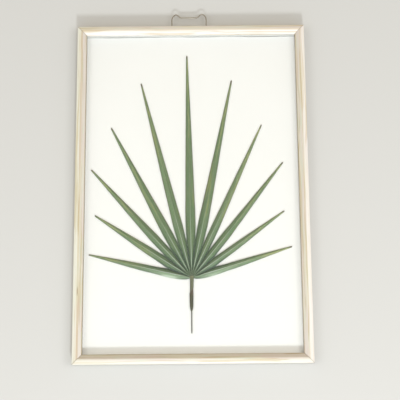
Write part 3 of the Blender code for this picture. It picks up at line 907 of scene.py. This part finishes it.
# %% [markdown]
# ## Leaf segments
# A fan palm's blade is pleated like a paper fan, and splits into long narrow segments.
# Each segment is a low roof over the card: a rib along the middle, and two halves that
# slope to the edges, which touch the neighbours near the hub. A slight waist marks where
# it leaves them. A flat grid is laid out on that shape row by row, because no operator
# knows how the pleats share their room, and Solidify gives it the thickness of a dry blade.
# Each row below gives a segment's angle, length, width, bow and tone.
# %% Shape of the leaf
LEAFLETS = [
    (16.7, 187, 15.8, -1.2, 0.1), (35.4, 205, 15.8, -1.2, 0.65), (51.4, 267, 16.6, -1.6, 0.0),
    (65.2, 308, 15.4, -1.0, 0.6), (78.3, 373, 17.8, -0.8, 0.0), (90.9, 414, 18.2, 0.0, 0.1),
    (104.2, 372, 17.4, 0.6, 0.6), (117.8, 312, 18.6, 1.0, 0.1), (132.5, 268, 17.6, 1.1, 0.4),
    (146.9, 207, 18.2, 1.3, 0.1), (167.1, 188, 16.3, 1.4, 0.35),
]
HUB_X = (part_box("petiole")[0].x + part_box("petiole")[1].x) / 2
HUB_Y = CENTRE_Y - 158.7 * MM
LEAF_START = 3.6 * MM
LEAF_THICK = 0.4 * MM
LIFT_HUB = 1.5 * MM
LIFT_TIP = 0.8 * MM
JOIN = 0.06 * MM
WAIST = 0.12
WAIST_PLACE = 64 * MM
WAIST_LONG = 22 * MM
BOW_PEAK = 6.75  # brings the largest value of share * (1 - share) ** 2 to 1
TAPER = 0.86
TAPER_STARTS = 0.25
WAVE = 0.035
OUTER_GROWTH = 10 * MM
RIB_ROUND = 0.03
SLOPE_FAR = 27
SLOPE_NEAR = 28
SLOPE_FADES = 35 * MM
RIPPLE = 0.35 * MM
RIPPLE_FULL = 60 * MM
ROWS = 84
COLUMNS = 12


def direction(index, distance):
    """The angle at which a segment's rib lies at that distance from the hub."""
    angle, length, _, bow, _ = LEAFLETS[index]
    share = distance / (length * MM)
    sideways = bow * MM * BOW_PEAK * share * (1 - share) ** 2
    return math.radians(angle) + sideways / distance


def blade_width(index, distance):
    _, length, width, _, _ = LEAFLETS[index]
    share = distance / (length * MM)
    taper = TAPER * max(0.0, (share - TAPER_STARTS) / (1 - TAPER_STARTS)) ** 1.1
    wave = WAVE * noise.noise(Vector((distance * 45, index * 3.7, 0)))
    waist = WAIST * math.exp(-((distance - WAIST_PLACE) / WAIST_LONG) ** 2)
    return width * MM * (1 - taper) * (1 + wave) * (1 - waist)


def half_width(index, distance, side):
    """Half of a segment's width towards one side, -1 clockwise or 1 anticlockwise."""
    half = blade_width(index, distance) / 2
    other = index + side
    if not 0 <= other < len(LEAFLETS):
        return half * (1 - math.exp(-distance / OUTER_GROWTH))
    if distance >= LEAFLETS[other][1] * MM:
        return half
    apart = abs(direction(other, distance) - direction(index, distance))
    return min(half, distance * apart / 2 - JOIN)


def blade_point(index, distance, across):
    """Place on the blade's upper side; across runs from -1 to 1 over the rib."""
    share = distance / (LEAFLETS[index][1] * MM)
    left = half_width(index, distance, 1)
    right = half_width(index, distance, -1)
    reach = across * (left if across > 0 else right)
    turn = direction(index, distance) + reach / distance
    roof = 1 - math.sqrt(across ** 2 + RIB_ROUND ** 2) + RIB_ROUND
    height = CARD_TOP + GAP + LIFT_HUB + (LIFT_TIP - LIFT_HUB) * share
    slope = math.radians(SLOPE_FAR + SLOPE_NEAR * math.exp(-distance / SLOPE_FADES))
    height += min(left, right) * math.tan(slope) * roof
    ripple = noise.noise(Vector((distance * 28, across * 1.5 + index * 9.1, 4.0)))
    height += RIPPLE * ripple * min(1.0, distance / RIPPLE_FULL) * (1 - 0.5 * share)
    return Vector((HUB_X + distance * math.cos(turn), HUB_Y + distance * math.sin(turn), height))


# %% [markdown]
# The grid's rows lie closer together near the hub, where the pleats change fastest. The
# last row is pulled back at its corners, which gives the blunt tip its round end. The free
# edge of the lowest segment on each side shows its pale side near the hub, given by colour
# alone, with a painted highlight where it bulges most.
# %% Leaf segments
ROW_SPREAD = 1.25
TIP_SHARE = 0.03
TIP_ROUND = 1.2 * MM
MAP_SHIFT = 0.7
FLAP_PLACE = 40 * MM
FLAP_LONG = 32 * MM
FLAP_RIGHT = 0.85


def flap_and_highlight_share(index, across, distance):
    """How much of the pale side and its painted highlight shows here, from 0 to 1."""
    is_right = index == 0
    is_left = index == len(LEAFLETS) - 1
    if not (is_right and across < 0 or is_left and across > 0):
        return 0.0
    bulge = math.exp(-((distance - FLAP_PLACE) / FLAP_LONG) ** 2)
    return bulge * min(1.0, 1.6 * abs(across)) * (FLAP_RIGHT if is_right else 1.0)


def model_leaflet(index):
    number = len(LEAFLETS) - index
    piece = start_mesh(f"segment_{number:02d}", bpy.ops.mesh.primitive_grid_add,
                       x_subdivisions=COLUMNS, y_subdivisions=ROWS, size=1)
    mesh = piece.data
    length = LEAFLETS[index][1] * MM
    for name in LEAF_VALUES:
        mesh.attributes.new(name, 'FLOAT', 'POINT')
    flat = {}
    for vertex in mesh.vertices:
        across = -2 * vertex.co.x
        row = vertex.co.y + 0.5
        distance = LEAF_START + (length - LEAF_START) * row ** ROW_SPREAD
        at_tip = max(0.0, (row - (1 - TIP_SHARE)) / TIP_SHARE)
        distance -= TIP_ROUND * across ** 2 * at_tip
        stored = (distance / length, across, LEAFLETS[index][4], distance,
                  flap_and_highlight_share(index, across, distance))
        for name, value in zip(LEAF_VALUES, stored):
            mesh.attributes[name].data[vertex.index].value = value
        half = half_width(index, distance, 1 if across > 0 else -1)
        flat[vertex.index] = (distance + index * MAP_SHIFT, across * half)
        vertex.co = blade_point(index, distance, across)
    mesh.uv_layers[0].name = "blade"
    for loop in mesh.loops:
        mesh.uv_layers["blade"].data[loop.index].uv = flat[loop.vertex_index]
    thick = piece.modifiers.new("thick", 'SOLIDIFY')
    thick.thickness = LEAF_THICK
    thick.offset = -1
    bpy.ops.object.modifier_apply(modifier=thick.name)
    bpy.ops.object.mode_set(mode='EDIT')
    bpy.ops.mesh.select_all(action='SELECT')
    bpy.ops.mesh.normals_make_consistent(inside=False)
    bpy.ops.object.mode_set(mode='OBJECT')
    return hand_over(piece, DRY_LEAF, "leaf_green", f"leaflet_{number:02d}")


for index in range(len(LEAFLETS)):
    segment = model_leaflet(index)
print("segment faces", len(segment.data.polygons), "highest", segment.bound_box[1][2])

# %% [markdown]
# ## Stalk, sheath and stem end
# Below the hub the stalk runs straight down the card. Each of the three pieces starts
# as a circle that is extruded step by step and made wider or narrower, as a potter
# pulls a neck. The sleeve's upper edge is then pushed into its slant.
# %% Stalk pieces
STALK_Z = CARD_TOP + 2.2 * MM


def model_stalk(name, stations_mm, aside=0.0, height=STALK_Z, sides=28):
    """Stations are (distance below the hub, width, thickness), from the hub downwards."""
    middle = HUB_X + aside
    below, wide, thick = stations_mm[0]
    piece = start_mesh(name, bpy.ops.mesh.primitive_circle_add, vertices=sides, radius=0.5 * MM,
                       fill_type='NGON', rotation=(math.radians(90), 0, 0),
                       location=(middle, HUB_Y - below * MM, height))
    piece.scale = (wide, thick, 1)
    settle(piece)
    bpy.ops.object.mode_set(mode='EDIT')
    bpy.ops.mesh.select_all(action='SELECT')
    for last, here in zip(stations_mm, stations_mm[1:]):
        bpy.ops.mesh.extrude_region_move(
            TRANSFORM_OT_translate={"value": (0, (last[0] - here[0]) * MM, 0)})
        bpy.ops.transform.resize(
            value=(here[1] / last[1], 1, here[2] / last[2]),
            center_override=(middle, HUB_Y - here[0] * MM, height))
    bpy.ops.mesh.select_all(action='SELECT')
    bpy.ops.mesh.normals_make_consistent(inside=False)
    bpy.ops.object.mode_set(mode='OBJECT')
    return piece


SLANT = 1.3


def slant(piece, below_mm, fade_mm):
    """Push the rings near the cut up at the right and down at the left."""
    for vertex in piece.data.vertices:
        distance = (HUB_Y - vertex.co.y) / MM
        share = max(0.0, 1 - abs(distance - below_mm) / fade_mm)
        vertex.co.y += SLANT * share * (vertex.co.x - HUB_X)


petiole = model_stalk("leaf_stalk", [
    (-3.4, 1.6, 0.8), (-2.9, 3.6, 1.3), (-2.2, 5.6, 1.8), (-1.2, 7.2, 2.4), (0.5, 7.9, 2.8),
    (2.5, 7.3, 3.2), (6, 6.6, 3.4), (12, 6.2, 3.4), (18, 6.1, 3.4), (22.2, 6.0, 3.4)])
slant(petiole, 22.2, 5)
hand_over(petiole, STALK_FIBRE, "leaf_stalk", "petiole")

sheath = model_stalk("old_sheath", [
    (22.8, 6.2, 3.6), (23.2, 6.5, 3.8), (27, 6.7, 3.8), (31, 6.7, 3.8), (38, 6.6, 3.7),
    (46, 6.4, 3.6), (52, 6.0, 3.4), (55.5, 5.0, 3.0), (58, 3.5, 2.4), (59.8, 1.9, 1.7)],
    aside=-0.6 * MM)
slant(sheath, 22.8, 5)
hand_over(sheath, SHEATH_FIBRE, "fibrous_sheath", "sheath")

stem = model_stalk("dry_stem_end", [
    (60.1, 1.9, 1.6), (66, 1.8, 1.5), (73, 1.7, 1.4), (80, 1.8, 1.4), (88, 1.8, 1.3),
    (94, 1.7, 1.3), (98.3, 1.6, 1.2)], aside=-0.4 * MM)
hand_over(stem, STEM_FIBRE, "dry_stem", "stem_end")
